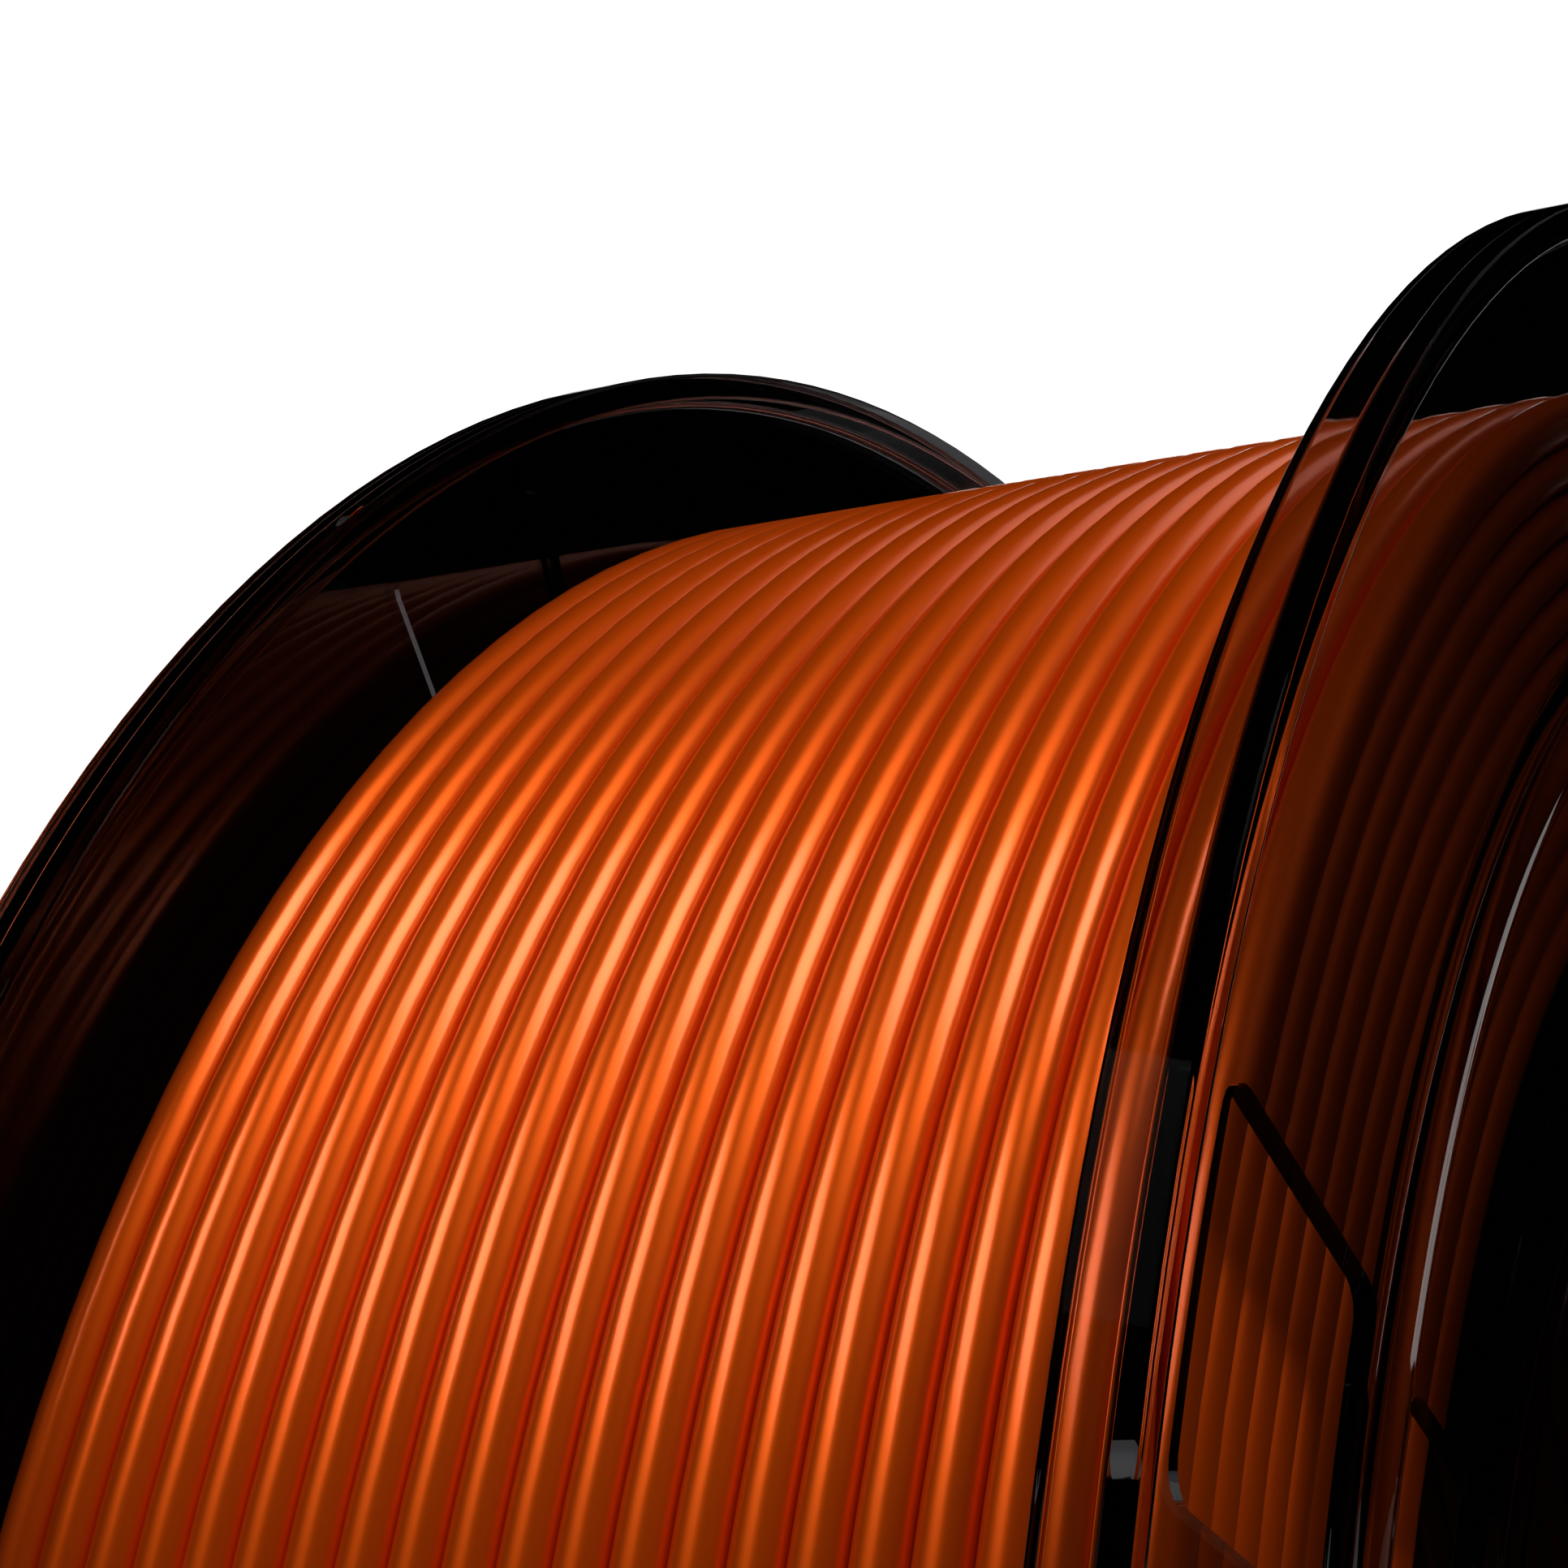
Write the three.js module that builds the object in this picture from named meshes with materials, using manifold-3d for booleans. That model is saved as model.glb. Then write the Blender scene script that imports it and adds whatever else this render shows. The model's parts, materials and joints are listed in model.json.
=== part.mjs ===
// A filament spool: two moulded flanges, the drum tube between them, the hub tube that lines the
// bore, and one strand of filament wound on the drum in parallel turns, layer on layer.
// Millimetres, +Z up. The spool's axis is Y, and the origin is at its middle.

import * as THREE from 'three';
import { mergeVertices } from 'three/addons/utils/BufferGeometryUtils.js';
import Module from 'manifold-3d';

// Flange
const FLANGE_MARGIN = 10.71;  // the flange stands this far above the full winding
const RIM_WIDTH = 4.2;        // along the axis
const LIP_WALL = 1.8;         // the rim's wall, across the radius
const WEB_THICKNESS = 1.0;
const WEB_RECESS = 0.85;      // the web's outer face, below the rim's outer edge
const BEAD_WALL = 5;          // stiffening bead between the two rows of windows
const BEAD_PROUD = 0.4;       // the bead stands out from the web, on both of its faces

// Windows in the web
const WINDOW_COUNT = 6;
const WINDOW_RIM_WALL = 3.2;  // web left between the outer windows and the lip
const WINDOW_HALF_ANGLE = 4.7;
const SLOT_HALF_ANGLE = 3.8;
const SLOT_REACH = 13.1;      // length of the inner slots, across the radius
const SLOT_INSET = 1.9;       // the slots start this far inside the drum's surface
const FAR_WINDOW_PANE = 0.3;  // the far flange's outer windows are closed by a thin pane
const CORNER_RADIUS = 1.6;
const NEAR_WINDOW_ANGLE = 66.4; // first window, from the top towards -X
const FAR_WINDOW_ANGLE = 31.6;

// Drum and hub
const DRUM_RADIUS = 77.5;
const DRUM_WALL = 3;
const SPIGOT_WALL = 2.5;      // collar on the web that centres the drum tube
const SPIGOT_LENGTH = 6;
const BORE_RADIUS = 26;
const HUB_WALL = 2.5;
const SOCKET_WALL = 2.8;      // collar on the web that holds the end of the hub tube
const SOCKET_LENGTH = 9;
const HUB_FACE_WALL = 9;      // raised ring round the bore, level with the rim

// Filament
const FILAMENT_DIAMETER = 2.85;
const TURN_GAP = 0.015;       // between one turn and the next
const TURNS = 21;
const LAYERS = 11;
const WINDING_SHIFT = -0.6;   // the winding lies this far off the middle, along Y
const WINDING_ROOM = 0.035;   // the gap between the rims, wider than the turns that it was made for

// Fits
const CLEARANCE = 0.3;
const FACETS = 48;            // sides of every round surface
const FILLET_STEPS = 3;

// Sizes that follow. A layer beds in the furrows of the one below it.
const turnPitch = FILAMENT_DIAMETER + TURN_GAP;
const layerPitch = Math.sqrt(FILAMENT_DIAMETER ** 2 - (turnPitch / 2) ** 2);
const firstLayerRadius = DRUM_RADIUS + CLEARANCE + FILAMENT_DIAMETER / 2;
const windingRadius = firstLayerRadius + (LAYERS - 1) * layerPitch + FILAMENT_DIAMETER / 2;
const windingHalfWidth = (TURNS * turnPitch) / 2;
const rimGap = 2 * windingHalfWidth + WINDING_ROOM;
const spoolWidth = rimGap + 2 * RIM_WIDTH;
const flangeRadius = windingRadius + FLANGE_MARGIN;
const lipRadius = flangeRadius - LIP_WALL;
const webOuter = WEB_RECESS;
const webInner = WEB_RECESS + WEB_THICKNESS;
const slotInnerRadius = DRUM_RADIUS - SLOT_INSET;
const beadInnerRadius = slotInnerRadius + SLOT_REACH;
const beadOuterRadius = beadInnerRadius + BEAD_WALL;
const windowOuterRadius = lipRadius - WINDOW_RIM_WALL;
const drumBore = DRUM_RADIUS - DRUM_WALL;
const spigotRadius = drumBore - CLEARANCE;
const hubRadius = BORE_RADIUS + HUB_WALL;
const socketBore = hubRadius + CLEARANCE;

const smokedPlastic = { color: 0x0a0a0b, roughness: 0.08, metalness: 0 };
const filamentPlastic = { color: 0xe0560a, roughness: 0.35, metalness: 0 };

const radians = (degrees) => THREE.MathUtils.degToRad(degrees);

// A body of revolution round Y from a closed outline of [radius, height] corners, taken
// anticlockwise: up its outside, in along its top, down its inside and out along its foot.
function turned(corners) {
  const outline = corners.map(([radius, height]) => new THREE.Vector2(radius, height));
  outline.push(outline[0].clone());
  return new THREE.LatheGeometry(outline, FACETS);
}

function tube(innerRadius, outerRadius, from, to) {
  return turned([[innerRadius, from], [outerRadius, from], [outerRadius, to], [innerRadius, to]]);
}

const wasm = await Module();
wasm.setup();

function solid(geometry) {
  const bare = geometry.clone();
  bare.deleteAttribute('normal');
  bare.deleteAttribute('uv');
  const merged = mergeVertices(bare, 1e-4);
  return new wasm.Manifold(new wasm.Mesh({
    numProp: 3,
    vertProperties: new Float32Array(merged.attributes.position.array),
    triVerts: new Uint32Array(merged.index.array),
  }));
}

function geometryOf(body) {
  const mesh = body.getMesh();
  const geometry = new THREE.BufferGeometry();
  geometry.setAttribute('position', new THREE.BufferAttribute(mesh.vertProperties, 3));
  geometry.setIndex(new THREE.BufferAttribute(mesh.triVerts, 1));
  geometry.computeVertexNormals();
  return geometry;
}

// The outline of a window: two arcs round the axis, two radial sides and four round corners.
// It is symmetrical about the shape's +Y.
function windowShape(innerRadius, outerRadius, halfAngle) {
  const up = Math.PI / 2;
  const outerTurn = halfAngle - Math.asin(CORNER_RADIUS / (outerRadius - CORNER_RADIUS));
  const innerTurn = halfAngle - Math.asin(CORNER_RADIUS / (innerRadius + CORNER_RADIUS));
  const shape = new THREE.Shape();
  const corner = (radius, turn, start, end) => {
    shape.absarc(radius * Math.sin(turn), radius * Math.cos(turn), CORNER_RADIUS, start, end, true);
  };
  const outerCentre = outerRadius - CORNER_RADIUS;
  const innerCentre = innerRadius + CORNER_RADIUS;
  shape.absarc(0, 0, outerRadius, up + outerTurn, up - outerTurn, true);
  corner(outerCentre, outerTurn, up - outerTurn, -halfAngle);
  corner(innerCentre, innerTurn, -halfAngle, -up - innerTurn);
  shape.absarc(0, 0, innerRadius, up - innerTurn, up + innerTurn, false);
  corner(innerCentre, -innerTurn, -up + innerTurn, -Math.PI + halfAngle);
  corner(outerCentre, -outerTurn, Math.PI + halfAngle, up + outerTurn);
  return shape;
}

// A window's cutter: its outline, drawn out along Y, at one place round the axis. It goes through
// the web, but for a pane of the thickness that is given.
function windowCutter(shape, angle, pane) {
  const depth = 2 * RIM_WIDTH;
  const cutter = new THREE.ExtrudeGeometry(shape, {
    depth,
    bevelEnabled: false,
    curveSegments: FILLET_STEPS,
  });
  cutter.rotateX(Math.PI / 2);
  cutter.translate(0, pane === 0 ? webOuter + depth / 2 : webOuter + pane + depth, 0);
  cutter.rotateY(angle);
  return solid(cutter);
}

// One flange, its outer edge at y = 0 and its inner face towards +Y. The first window's angle is
// taken from +Z towards +X, and the pane is what closes the outer windows.
function flangeGeometry(windowAngle, pane) {
  const spigotTop = webInner + SPIGOT_LENGTH;
  const socketTop = webInner + SOCKET_LENGTH;
  const beadFront = webOuter - BEAD_PROUD;
  const beadBack = webInner + BEAD_PROUD;
  let flange = solid(turned([
    [BORE_RADIUS, 0],
    [BORE_RADIUS + HUB_FACE_WALL, 0],
    [BORE_RADIUS + HUB_FACE_WALL, webOuter],
    [beadInnerRadius, webOuter],
    [beadInnerRadius, beadFront],
    [beadOuterRadius, beadFront],
    [beadOuterRadius, webOuter],
    [lipRadius, webOuter],
    [lipRadius, 0],
    [flangeRadius, 0],
    [flangeRadius, RIM_WIDTH],
    [lipRadius, RIM_WIDTH],
    [lipRadius, webInner],
    [beadOuterRadius, webInner],
    [beadOuterRadius, beadBack],
    [beadInnerRadius, beadBack],
    [beadInnerRadius, webInner],
    [spigotRadius, webInner],
    [spigotRadius, spigotTop],
    [spigotRadius - SPIGOT_WALL, spigotTop],
    [spigotRadius - SPIGOT_WALL, webInner],
    [socketBore + SOCKET_WALL, webInner],
    [socketBore + SOCKET_WALL, socketTop],
    [socketBore, socketTop],
    [socketBore, webInner],
    [BORE_RADIUS, webInner],
  ]));
  const sight = windowShape(beadOuterRadius, windowOuterRadius, radians(WINDOW_HALF_ANGLE));
  const slot = windowShape(slotInnerRadius, beadInnerRadius, radians(SLOT_HALF_ANGLE));
  for (let index = 0; index < WINDOW_COUNT; index += 1) {
    const angle = windowAngle + (2 * Math.PI * index) / WINDOW_COUNT;
    flange = flange.subtract(windowCutter(sight, angle, pane));
    flange = flange.subtract(windowCutter(slot, angle, 0));
  }
  return geometryOf(flange);
}

const spool = new THREE.Group();

function addMesh(name, geometry, finish) {
  const mesh = new THREE.Mesh(geometry, new THREE.MeshStandardMaterial(finish));
  mesh.name = name;
  spool.add(mesh);
  return mesh;
}

// The near flange faces -Y. The far one is turned about Z to face +Y, and set on the drum at
// another angle. Its outer windows are blind.
const nearGeometry = flangeGeometry(-radians(NEAR_WINDOW_ANGLE), 0);
const nearFlange = addMesh('flange_near', nearGeometry, smokedPlastic);
nearFlange.position.y = -spoolWidth / 2;

const farGeometry = flangeGeometry(radians(FAR_WINDOW_ANGLE), FAR_WINDOW_PANE);
const farFlange = addMesh('flange_far', farGeometry, smokedPlastic);
farFlange.rotation.z = Math.PI;
farFlange.position.y = spoolWidth / 2;

// Both tubes stand between the two webs.
const tubeEnd = spoolWidth / 2 - webInner - CLEARANCE;
addMesh('drum_tube', tube(drumBore, DRUM_RADIUS, -tubeEnd, tubeEnd), smokedPlastic);
addMesh('hub_tube', tube(BORE_RADIUS, hubRadius, -tubeEnd, tubeEnd), smokedPlastic);

// The winding: each layer of turns is a plain ring with the layer's true outline.
const halfLayer = (layerPitch - CLEARANCE) / 2;
for (let layer = 0; layer < LAYERS; layer += 1) {
  const middle = firstLayerRadius + layer * layerPitch;
  const inner = layer === 0 ? middle - FILAMENT_DIAMETER / 2 : middle - halfLayer;
  const outer = layer === LAYERS - 1 ? middle + FILAMENT_DIAMETER / 2 : middle + halfLayer;
  const number = String(layer + 1).padStart(2, '0');
  const ring = tube(inner, outer, -windingHalfWidth, windingHalfWidth);
  addMesh(`filament_layer_${number}`, ring, filamentPlastic).position.y = WINDING_SHIFT;
}

export default spool;
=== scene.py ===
"""A full filament spool: two flanges and two tubes of smoked clear plastic, and one orange strand.

Metres, +Z up. The spool's axis is Y and its middle is the origin; the near flange faces -Y.
"""

import json
import math

import bmesh
import bpy
from mathutils import Matrix, Vector

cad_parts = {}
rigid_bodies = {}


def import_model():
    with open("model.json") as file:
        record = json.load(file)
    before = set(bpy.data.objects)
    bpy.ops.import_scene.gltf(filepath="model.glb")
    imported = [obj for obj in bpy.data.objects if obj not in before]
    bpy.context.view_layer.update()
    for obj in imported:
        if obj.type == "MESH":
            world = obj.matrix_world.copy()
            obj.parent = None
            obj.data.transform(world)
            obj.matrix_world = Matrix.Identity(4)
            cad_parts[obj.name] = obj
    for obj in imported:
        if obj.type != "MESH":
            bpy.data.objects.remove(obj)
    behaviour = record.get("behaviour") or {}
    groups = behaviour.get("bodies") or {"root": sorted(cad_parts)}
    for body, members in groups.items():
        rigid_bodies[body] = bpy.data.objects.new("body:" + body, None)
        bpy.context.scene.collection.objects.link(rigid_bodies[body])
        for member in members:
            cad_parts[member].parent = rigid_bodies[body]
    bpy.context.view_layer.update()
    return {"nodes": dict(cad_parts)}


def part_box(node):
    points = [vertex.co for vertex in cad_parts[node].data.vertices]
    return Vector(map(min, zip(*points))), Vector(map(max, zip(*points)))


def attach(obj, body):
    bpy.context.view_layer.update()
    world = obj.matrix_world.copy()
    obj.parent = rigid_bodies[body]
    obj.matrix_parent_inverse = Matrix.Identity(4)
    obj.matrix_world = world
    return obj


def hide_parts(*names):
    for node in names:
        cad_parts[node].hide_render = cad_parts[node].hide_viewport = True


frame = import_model()

# ---- Camera -------------------------------------------------------------------------------------
# It stands beyond the rim of the near flange, a little above the spool's axis, and looks up and
# across the winding to the far flange.
MM = 0.001
CAMERA_PLACE = Vector((-222.45, -84.6, 36)) * MM
CAMERA_HEADING = math.radians(60.06)
CAMERA_RISE = math.radians(11.85)

camera_data = bpy.data.cameras.new("camera")
camera_data.lens = 77.94
camera_data.sensor_width = 36
camera_data.clip_start = 10 * MM
camera_data.clip_end = 50
camera = bpy.data.objects.new("camera", camera_data)
camera.location = CAMERA_PLACE
camera.rotation_euler = (math.pi / 2 + CAMERA_RISE, 0, -CAMERA_HEADING)
bpy.context.collection.objects.link(camera)
bpy.context.scene.camera = camera

# ---- Filament -----------------------------------------------------------------------------------
# One strand of orange printing filament, 2.85 mm thick and wound in parallel turns. Each turn
# steps over to the next place in one short stretch, at the bottom and away from the camera.
FILAMENT = 2.85 * MM
TURN_GAP = 0.015 * MM
TURNS = 21
TURN_PITCH = FILAMENT + TURN_GAP
STEP_OVER = math.radians(40)
STEP_OVER_AT = math.radians(200)
FILAMENT_ORANGE = "e66200"
FILAMENT_ORANGE_DEEP = "df5c00"
OUTER_SIDES = 20
OUTER_STEPS = 144
INNER_SIDES = 12
INNER_STEPS = 96


def linear(code):
    """An sRGB hex colour as linear red, green, blue and alpha."""
    parts = [int(code[i:i + 2], 16) / 255 for i in (0, 2, 4)]
    return [p / 12.92 if p <= 0.04045 else ((p + 0.055) / 1.055) ** 2.4 for p in parts] + [1]


def add_node(material, kind, settings, links):
    """Adds a shader node. Settings go on its sockets or itself; links bring it other outputs."""
    node = material.node_tree.nodes.new(kind)
    for name, value in settings.items():
        if name in node.inputs:
            node.inputs[name].default_value = value
        else:
            setattr(node, name, value)
    for name, output in links.items():
        material.node_tree.links.new(output, node.inputs[name])
    return node


def new_material(name, settings):
    """A material with a Principled shader, and that shader."""
    material = bpy.data.materials.new(name)
    material.use_nodes = True
    shader = material.node_tree.nodes["Principled BSDF"]
    for socket, value in settings.items():
        shader.inputs[socket].default_value = value
    return material, shader


def finished(name, bm, material, node):
    """Makes a piece of a bmesh, in place of a CAD node, and hands it to the frame."""
    bmesh.ops.recalc_face_normals(bm, faces=bm.faces)
    mesh = bpy.data.meshes.new(name)
    bm.to_mesh(mesh)
    bm.free()
    mesh.materials.append(material)
    piece = bpy.data.objects.new(name, mesh)
    bpy.context.collection.objects.link(piece)
    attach(piece, "root")
    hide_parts(node)
    return piece


# Extruded PLA with a satin finish: it glints in its own colour, under a thin clear gloss. Its colour
# and its gloss drift a little every few millimetres, which keeps the turns from looking alike.
satin_pla, satin_shader = new_material("extruded_satin_pla", {
    "Metallic": 0.5,
    "IOR": 1.46,
    "Specular IOR Level": 0.2,
    "Coat Weight": 0.3,
    "Coat Roughness": 0.16,
})
DRIFT = 9 * MM
place = add_node(satin_pla, "ShaderNodeTexCoord", {}, {})
drift = add_node(satin_pla, "ShaderNodeTexNoise", {"Scale": 1 / DRIFT, "Detail": 1.0},
                   {"Vector": place.outputs["Object"]})
tint = add_node(satin_pla, "ShaderNodeMix", {"data_type": "RGBA"}, {"Factor": drift.outputs["Fac"]})
# A mix node's sockets for its two colours share their names with others, so they go by number.
tint.inputs[6].default_value = linear(FILAMENT_ORANGE)
tint.inputs[7].default_value = linear(FILAMENT_ORANGE_DEEP)
satin_pla.node_tree.links.new(tint.outputs[2], satin_shader.inputs["Base Color"])
gloss = add_node(satin_pla, "ShaderNodeMapRange", {"To Min": 0.33, "To Max": 0.38},
                 {"Value": drift.outputs["Fac"]})
satin_pla.node_tree.links.new(gloss.outputs["Result"], satin_shader.inputs["Roughness"])


def wound_layer(node, radius, tall, direction, sides, steps):
    """A layer's turns: each runs true round the drum, then steps over to the next one's place."""
    low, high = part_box(node)
    first = (low.y + high.y) / 2 - direction * TURN_PITCH * (TURNS - 1) / 2
    bm = bmesh.new()
    ring = bmesh.ops.create_circle(bm, radius=0.5, segments=sides)["verts"]
    bmesh.ops.rotate(bm, verts=ring, matrix=Matrix.Rotation(math.pi / 2, 3, "Y"))
    bmesh.ops.scale(bm, verts=ring, vec=(1, FILAMENT, tall))
    bmesh.ops.translate(bm, verts=ring, vec=(0, first, radius))
    start = STEP_OVER_AT + STEP_OVER / 2
    bmesh.ops.rotate(bm, verts=ring, matrix=Matrix.Rotation(-start, 3, "Y"))
    over_steps = round(steps * STEP_OVER / (2 * math.pi))
    run = bmesh.ops.spin(bm, geom=ring + bm.edges[:], cent=(0, 0, 0), axis=(0, -1, 0),
                         dvec=(0, 0, 0), angle=2 * math.pi - STEP_OVER,
                         steps=steps - over_steps)
    true_run = bm.verts[:] + bm.edges[:] + bm.faces[:]
    bmesh.ops.spin(bm, geom=run["geom_last"], cent=(0, 0, 0), axis=(0, -1, 0),
                   dvec=(0, direction * TURN_PITCH / over_steps, 0),
                   angle=STEP_OVER, steps=over_steps)
    whole_turn = bm.verts[:] + bm.edges[:] + bm.faces[:]
    for turn in range(1, TURNS):
        source = whole_turn if turn < TURNS - 1 else true_run
        copy = bmesh.ops.duplicate(bm, geom=source)["geom"]
        moved = [item for item in copy if isinstance(item, bmesh.types.BMVert)]
        bmesh.ops.translate(bm, verts=moved, vec=(0, turn * direction * TURN_PITCH, 0))
    bmesh.ops.remove_doubles(bm, verts=bm.verts, dist=FILAMENT / 1000)
    cut_ends = [edge for edge in bm.edges if edge.is_boundary]
    bmesh.ops.holes_fill(bm, edges=cut_ends, sides=0)
    for face in bm.faces:
        face.smooth = len(face.verts) == 4
    return finished(node + "_turns", bm, satin_pla, node)


# Each layer lies in the furrows of the one below, and goes back the way that one came. All but
# the outermost are pressed to the height that the next layer leaves them.
layers = sorted(node for node in frame["nodes"] if node.startswith("filament_layer"))
layer_rise = math.sqrt(FILAMENT ** 2 - (TURN_PITCH / 2) ** 2)
outermost_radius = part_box(layers[-1])[1].z - FILAMENT / 2
for count, layer in enumerate(layers):
    above = len(layers) - 1 - count
    layer_radius = outermost_radius - above * layer_rise
    layer_direction = 1 if count % 2 == 0 else -1
    if above == 0:
        wound_layer(layer, layer_radius, FILAMENT, layer_direction, OUTER_SIDES, OUTER_STEPS)
    else:
        wound_layer(layer, layer_radius, layer_rise, layer_direction, INNER_SIDES, INNER_STEPS)

# ---- Flanges ------------------------------------------------------------------------------------
# Two mouldings in smoked clear polycarbonate: a thin web with a rim round it, windows and slots to
# see the filament through, a crowned bead between them, and collars that hold the two tubes.
RIM_WIDTH = 4.2 * MM
LIP_WALL = 1.8 * MM
WEB = 1.0 * MM
WEB_RECESS = 0.85 * MM
BEAD_WALL = 5 * MM
BEAD_PROUD = 0.4 * MM
BEAD_CHORDS = 6
WINDOW_COUNT = 6
WINDOW_RIM_WALL = 3.2 * MM
WINDOW_HALF_ANGLE = math.radians(4.7)
SLOT_HALF_ANGLE = math.radians(3.8)
SLOT_REACH = 13.1 * MM
SLOT_INSET = 1.9 * MM
WINDOW_CORNER = 1.6 * MM
WINDOW_ARC_STEPS = 8
WINDOW_SHARP_CORNER = math.radians(60)
FAR_WINDOW_PANE = 0.3 * MM
NEAR_WINDOW_ANGLE = math.radians(-66.4)
FAR_WINDOW_ANGLE = math.radians(31.6)
DRUM_WALL = 3 * MM
SPIGOT_WALL = 2.5 * MM
SPIGOT_LENGTH = 6 * MM
HUB_WALL = 2.5 * MM
SOCKET_WALL = 2.8 * MM
SOCKET_LENGTH = 9 * MM
HUB_FACE_WALL = 9 * MM
CLEARANCE = 0.3 * MM
MOULDED_CORNER = 0.3 * MM
WINDOW_EDGE = 0.15 * MM
WINDOW_EDGE_SHARPER_THAN = math.radians(50)
ROUND_STEPS = 192

drum_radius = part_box("drum_tube")[1].x
hub_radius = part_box("hub_tube")[1].x
flange_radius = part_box("flange_near")[1].x
half_width = -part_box("flange_near")[0].y
bore = hub_radius - HUB_WALL
lip = flange_radius - LIP_WALL
web_back = WEB_RECESS + WEB
slot_inner = drum_radius - SLOT_INSET
bead_inner = slot_inner + SLOT_REACH
bead_outer = bead_inner + BEAD_WALL
spigot = drum_radius - DRUM_WALL - CLEARANCE
socket = hub_radius + CLEARANCE

# Smoked polycarbonate, moulded in a polished tool: clear, glossy and tinted grey all through. Its
# faces are very slightly wavy.
smoked, smoked_shader = new_material("moulded_smoked_polycarbonate", {
    "Base Color": linear("cbcbcf"),
    "Roughness": 0.02,
    "IOR": 1.4,
    "Specular Tint": linear("606060"),
    "Transmission Weight": 1,
})
WAVE = 14 * MM
WAVE_HEIGHT = 0.004 * MM
place = add_node(smoked, "ShaderNodeTexCoord", {}, {})
waves = add_node(smoked, "ShaderNodeTexNoise", {"Scale": 1 / WAVE, "Detail": 0.0},
                 {"Vector": place.outputs["Object"]})
wavy = add_node(smoked, "ShaderNodeBump", {"Distance": WAVE_HEIGHT, "Strength": 1.0},
                {"Height": waves.outputs["Fac"]})
smoked.node_tree.links.new(wavy.outputs["Normal"], smoked_shader.inputs["Normal"])


def spun(outline):
    """A body turned round Y from a closed outline of (radius, y) corners, its corners rounded."""
    bm = bmesh.new()
    corners = [bm.verts.new((radius, y, 0)) for radius, y in outline]
    for here, there in zip(corners, corners[1:] + corners[:1]):
        bm.edges.new((here, there))
    bmesh.ops.bevel(bm, geom=corners, offset=MOULDED_CORNER, segments=3, profile=0.5,
                    affect="VERTICES", material=-1)
    bmesh.ops.spin(bm, geom=bm.verts[:] + bm.edges[:], cent=(0, 0, 0), axis=(0, 1, 0),
                   dvec=(0, 0, 0), angle=2 * math.pi, steps=ROUND_STEPS, use_merge=True)
    bmesh.ops.recalc_face_normals(bm, faces=bm.faces)
    for face in bm.faces:
        face.smooth = True
    return bm


def as_object(bm, name):
    """A plain object made of a bmesh, with no material."""
    mesh = bpy.data.meshes.new(name)
    bm.to_mesh(mesh)
    bm.free()
    made = bpy.data.objects.new(name, mesh)
    bpy.context.collection.objects.link(made)
    return made


def flat_faces_true(piece):
    """Keeps the shading of the large faces flat, and bends it at the rounded corners only."""
    normals = piece.modifiers.new("true_faces", "WEIGHTED_NORMAL")
    normals.mode = "FACE_AREA"
    normals.weight = 100


def crowned_bead(face, outwards):
    """The bead's outline on one face of the web, from its inner to its outer radius."""
    points = []
    for step in range(BEAD_CHORDS + 1):
        share = step / BEAD_CHORDS
        rise = BEAD_PROUD * math.sin(math.pi * share)
        points.append((bead_inner + BEAD_WALL * share, face + outwards * rise))
    return points


def window_cutter(inner, outer, half_angle, angle, front):
    """A cutter from y = front inwards: a sector of a ring, its corners rounded."""
    bm = bmesh.new()
    ends = [bm.verts.new((0, front, inner)), bm.verts.new((0, front, outer))]
    side = bm.edges.new(ends)
    bmesh.ops.rotate(bm, verts=ends, matrix=Matrix.Rotation(-half_angle, 3, "Y"))
    bmesh.ops.spin(bm, geom=ends + [side], cent=(0, 0, 0), axis=(0, 1, 0), dvec=(0, 0, 0),
                   angle=2 * half_angle, steps=WINDOW_ARC_STEPS)
    bmesh.ops.dissolve_faces(bm, faces=bm.faces[:])
    corners = [vert for vert in bm.verts if vert.calc_edge_angle(0) > WINDOW_SHARP_CORNER]
    bmesh.ops.bevel(bm, geom=corners, offset=WINDOW_CORNER, segments=4, profile=0.5,
                    affect="VERTICES", material=-1)
    drawn = bmesh.ops.extrude_face_region(bm, geom=bm.faces[:])["geom"]
    far_end = [item for item in drawn if isinstance(item, bmesh.types.BMVert)]
    bmesh.ops.translate(bm, verts=far_end, vec=(0, 3 * RIM_WIDTH, 0))
    bmesh.ops.rotate(bm, verts=bm.verts[:], matrix=Matrix.Rotation(angle, 3, "Y"))
    bmesh.ops.recalc_face_normals(bm, faces=bm.faces)
    return bm


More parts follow.
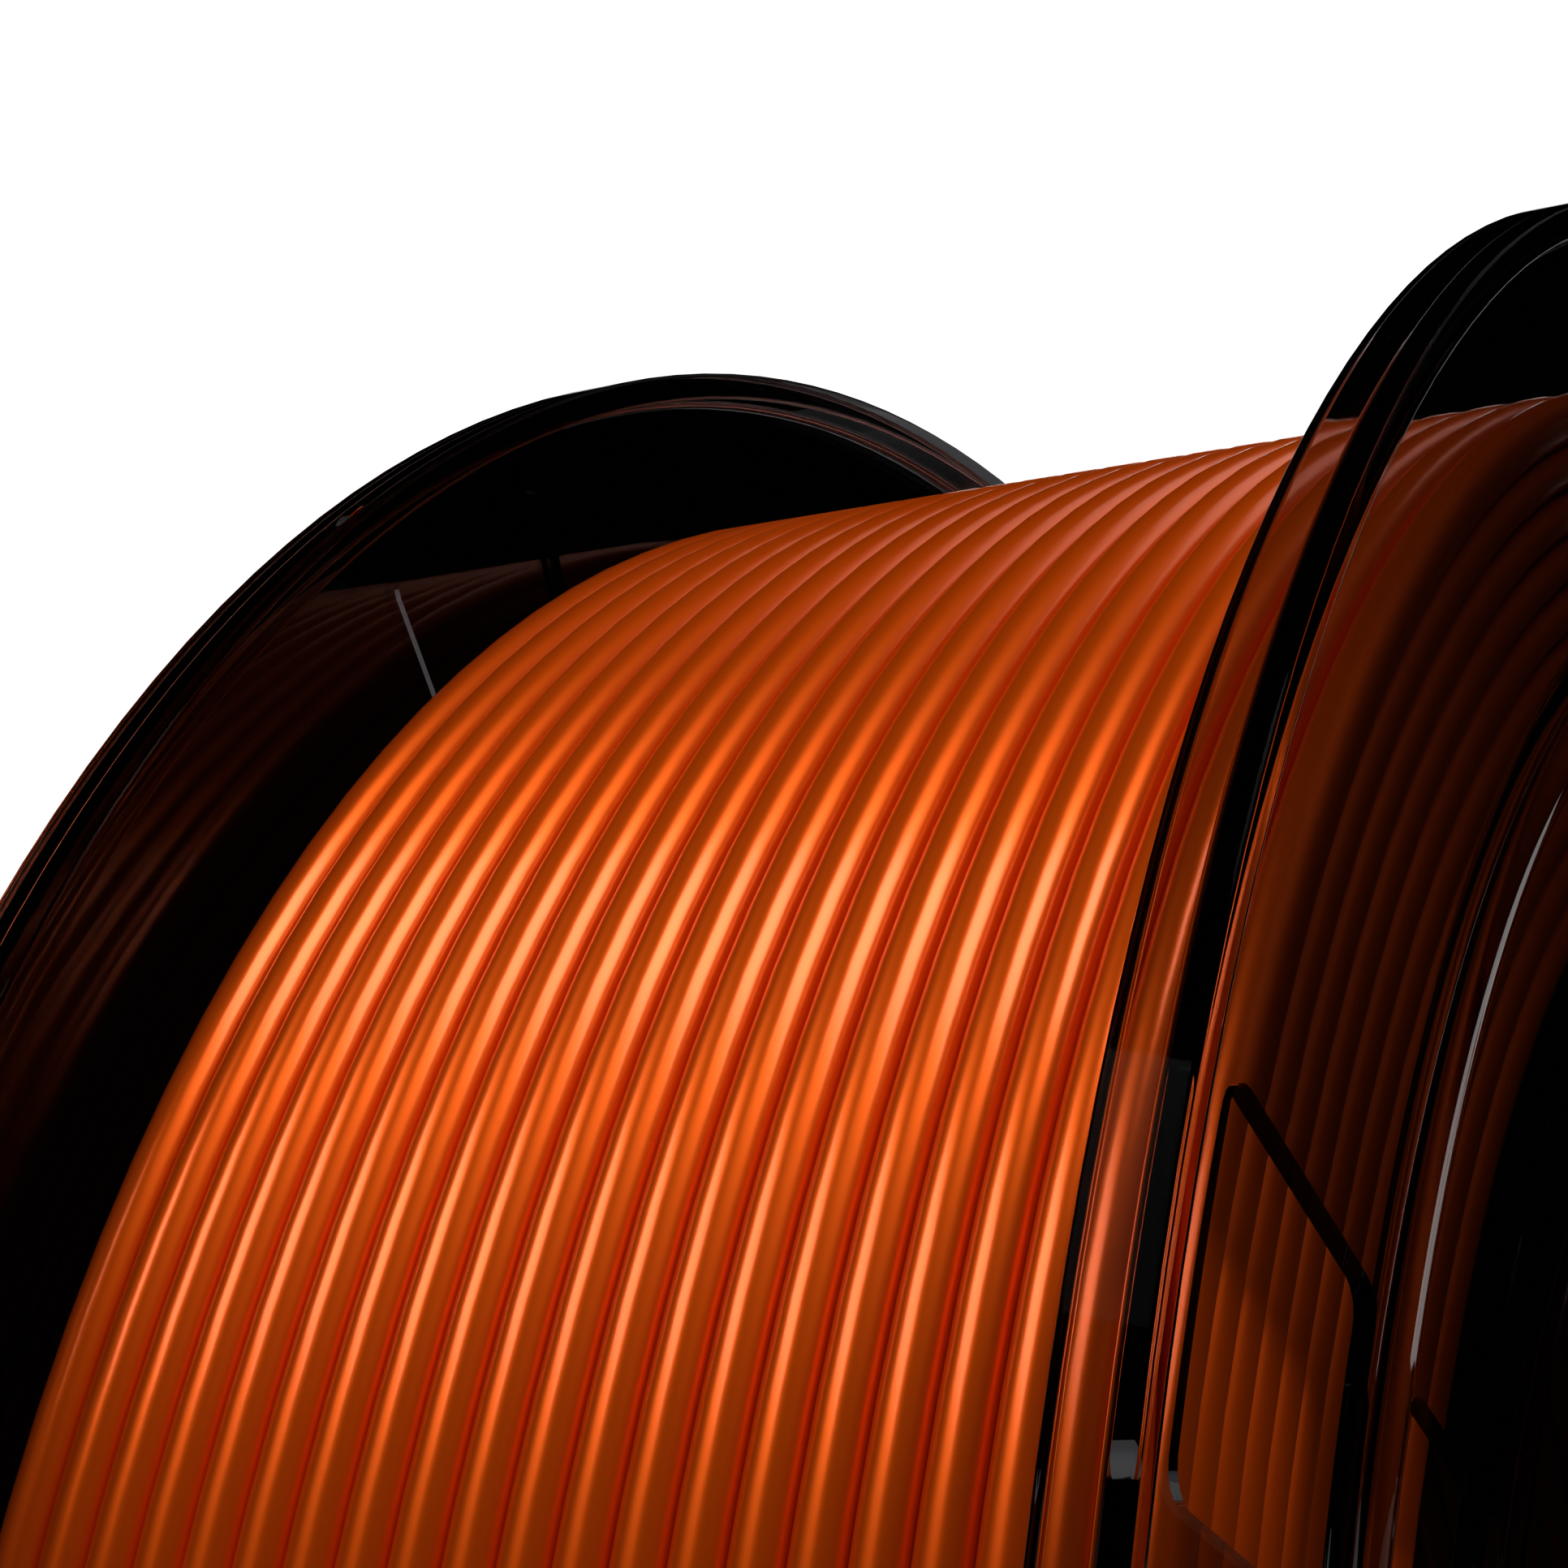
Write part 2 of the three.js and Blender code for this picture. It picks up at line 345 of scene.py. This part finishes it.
def flange(node, first_window, window_front, faces_back):
    """A flange with its outer edge at y = 0, cut, and then set at its end of the spool."""
    blank = as_object(spun(
        [(bore, 0), (bore + HUB_FACE_WALL, 0), (bore + HUB_FACE_WALL, WEB_RECESS)]
        + crowned_bead(WEB_RECESS, -1)
        + [(lip, WEB_RECESS), (lip, 0), (flange_radius, 0), (flange_radius, RIM_WIDTH),
           (lip, RIM_WIDTH), (lip, web_back)]
        + crowned_bead(web_back, 1)[::-1]
        + [(spigot, web_back), (spigot, web_back + SPIGOT_LENGTH),
           (spigot - SPIGOT_WALL, web_back + SPIGOT_LENGTH), (spigot - SPIGOT_WALL, web_back),
           (socket + SOCKET_WALL, web_back), (socket + SOCKET_WALL, web_back + SOCKET_LENGTH),
           (socket, web_back + SOCKET_LENGTH), (socket, web_back), (bore, web_back)]
    ), "blank")
    all_cutters = bmesh.new()
    for index in range(WINDOW_COUNT):
        angle = first_window + 2 * math.pi * index / WINDOW_COUNT
        for cutter in (
            window_cutter(bead_outer, lip - WINDOW_RIM_WALL, WINDOW_HALF_ANGLE, angle, window_front),
            window_cutter(slot_inner, bead_inner, SLOT_HALF_ANGLE, angle, -RIM_WIDTH),
        ):
            cutter_mesh = bpy.data.meshes.new("cutter")
            cutter.to_mesh(cutter_mesh)
            cutter.free()
            all_cutters.from_mesh(cutter_mesh)
            bpy.data.meshes.remove(cutter_mesh)
    cutters = as_object(all_cutters, "cutters")
    cut = blank.modifiers.new("windows", "BOOLEAN")
    cut.object = cutters
    cut.operation = "DIFFERENCE"
    cut.solver = "EXACT"
    bpy.context.view_layer.update()
    bm = bmesh.new()
    bm.from_mesh(blank.evaluated_get(bpy.context.evaluated_depsgraph_get()).to_mesh())
    bpy.data.objects.remove(blank)
    bpy.data.objects.remove(cutters)
    if faces_back:
        bmesh.ops.rotate(bm, verts=bm.verts[:], matrix=Matrix.Rotation(math.pi, 3, "Z"))
    end = half_width if faces_back else -half_width
    bmesh.ops.translate(bm, verts=bm.verts[:], vec=(0, end, 0))
    piece = finished(node + "_moulding", bm, smoked, node)
    softened = piece.modifiers.new("window_edges", "BEVEL")
    softened.width = WINDOW_EDGE
    softened.segments = 2
    softened.limit_method = "ANGLE"
    softened.angle_limit = WINDOW_EDGE_SHARPER_THAN
    flat_faces_true(piece)


# The near flange's windows go right through. A thin pane closes the far flange's.
flange("flange_near", NEAR_WINDOW_ANGLE, -RIM_WIDTH, faces_back=False)
flange("flange_far", FAR_WINDOW_ANGLE, WEB_RECESS + FAR_WINDOW_PANE, faces_back=True)

# ---- Drum tube and hub tube ---------------------------------------------------------------------
# Two plain extruded tubes of the same smoked plastic, bonded over and into the flanges' collars:
# the drum carries the winding, and the hub tube lines the bore.
for node, wall in (("drum_tube", DRUM_WALL), ("hub_tube", HUB_WALL)):
    low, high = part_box(node)
    inside = high.x - wall
    section = [(inside, low.y), (high.x, low.y), (high.x, high.y), (inside, high.y)]
    flat_faces_true(finished(node + "_extrusion", spun(section), smoked, node))

# ---- Studio -------------------------------------------------------------------------------------
# A plain pale floor and a white surround. They look pale to the eye and are dull to everything
# else, so that the smoked plastic shows as dark as it does between black cards.
FLOOR_HALF = 6
bm = bmesh.new()
bmesh.ops.create_grid(bm, x_segments=1, y_segments=1, size=FLOOR_HALF)
bmesh.ops.translate(bm, verts=bm.verts[:], vec=(0, 0, -flange_radius - MM))
floor = as_object(bm, "floor")
floor_paint = bpy.data.materials.new("pale_floor_paint")
floor_paint.use_nodes = True
floor_paint.node_tree.nodes.remove(floor_paint.node_tree.nodes["Principled BSDF"])
eye = add_node(floor_paint, "ShaderNodeLightPath", {}, {})
pale = add_node(floor_paint, "ShaderNodeBsdfDiffuse", {"Color": linear("f2f2f2")}, {})
dull = add_node(floor_paint, "ShaderNodeBsdfDiffuse", {"Color": linear("505050")}, {})
both = add_node(floor_paint, "ShaderNodeMixShader", {}, {"Fac": eye.outputs["Is Camera Ray"]})
floor_paint.node_tree.links.new(dull.outputs[0], both.inputs[1])
floor_paint.node_tree.links.new(pale.outputs[0], both.inputs[2])
paint_out = floor_paint.node_tree.nodes["Material Output"]
floor_paint.node_tree.links.new(both.outputs[0], paint_out.inputs["Surface"])
floor.data.materials.append(floor_paint)

surround = bpy.data.worlds.new("white_surround")
bpy.context.scene.world = surround
surround.use_nodes = True
eye = add_node(surround, "ShaderNodeLightPath", {}, {})
white = surround.node_tree.nodes["Background"]
white.inputs["Color"].default_value = (1, 1, 1, 1)
black = add_node(surround, "ShaderNodeBackground", {"Color": (0, 0, 0, 1)}, {})
both = add_node(surround, "ShaderNodeMixShader", {}, {"Fac": eye.outputs["Is Camera Ray"]})
surround.node_tree.links.new(black.outputs[0], both.inputs[1])
surround.node_tree.links.new(white.outputs[0], both.inputs[2])
world_out = surround.node_tree.nodes["World Output"]
surround.node_tree.links.new(both.outputs[0], world_out.inputs["Surface"])

# ---- Lights -------------------------------------------------------------------------------------
# Long softboxes above, at the left and behind. Each is three lights: one for the filament and the
# floor, one for what the smoked plastic lets through to the filament, and one for its own gloss.
LIGHT_DISTANCE = 1.2
THROUGH_PLASTIC = 0.3
ON_PLASTIC = 0.12
FLOOR_WASH = 2.4
FLOOR_WASH_SPREAD = math.radians(60)

filament_group = bpy.data.collections.new("filament")
floor_group = bpy.data.collections.new("floor")
lit_group = bpy.data.collections.new("filament_and_floor")
plastic_group = bpy.data.collections.new("smoked_plastic")
for piece in bpy.context.scene.objects:
    if piece.type == "MESH" and piece.data.materials[:] == [satin_pla]:
        filament_group.objects.link(piece)
        lit_group.objects.link(piece)
    elif piece.type == "MESH" and piece.data.materials[:] == [smoked]:
        plastic_group.objects.link(piece)
lit_group.objects.link(floor)
floor_group.objects.link(floor)


def softbox(name, toward, long_side, size, watts, lights, shaded_by=None):
    """An area light that faces the spool and lights one group, which one group alone may shade."""
    data = bpy.data.lights.new(name, "AREA")
    data.shape = "RECTANGLE"
    data.size, data.size_y = size
    data.energy = watts
    back = Vector(toward).normalized()
    across = back.cross(Vector(long_side)).normalized()
    turn = Matrix((across.cross(back), -across, back)).transposed().to_4x4()
    light = bpy.data.objects.new(name, data)
    light.matrix_world = Matrix.Translation(back * LIGHT_DISTANCE) @ turn
    light.visible_transmission = False
    light.light_linking.receiver_collection = lights
    light.light_linking.blocker_collection = shaded_by
    bpy.context.collection.objects.link(light)


for name, toward, long_side, size, watts in (
    ("overhead", (-0.21, -0.38, 0.9), (0.27, -0.96, 0), (0.75, 0.28), 6.0),
    ("left", (-0.555, 0.412, 0.723), (-0.48, -0.88, 0), (0.7, 0.28), 3.9),
    ("back", (0.93, 0.25, 0.26), (0, 1, 0), (0.9, 0.6), 6),
    ("back_overhead", (0.574, -0.318, 0.755), (0, 1, 0), (0.7, 0.4), 0.8),
):
    softbox(name, toward, long_side, size, watts * (1 - THROUGH_PLASTIC), lit_group)
    softbox(name + "_through", toward, long_side, size, watts * THROUGH_PLASTIC, filament_group,
            filament_group)
    softbox(name + "_gloss", toward, long_side, size, watts * ON_PLASTIC, plastic_group)

floor_wash = bpy.data.lights.new("floor_wash", "SUN")
floor_wash.energy = FLOOR_WASH
floor_wash.angle = FLOOR_WASH_SPREAD
wash = bpy.data.objects.new("floor_wash", floor_wash)
wash.light_linking.receiver_collection = floor_group
bpy.context.collection.objects.link(wash)

bpy.context.scene.view_settings.view_transform = "Standard"
bpy.context.scene.view_settings.look = "Medium High Contrast"
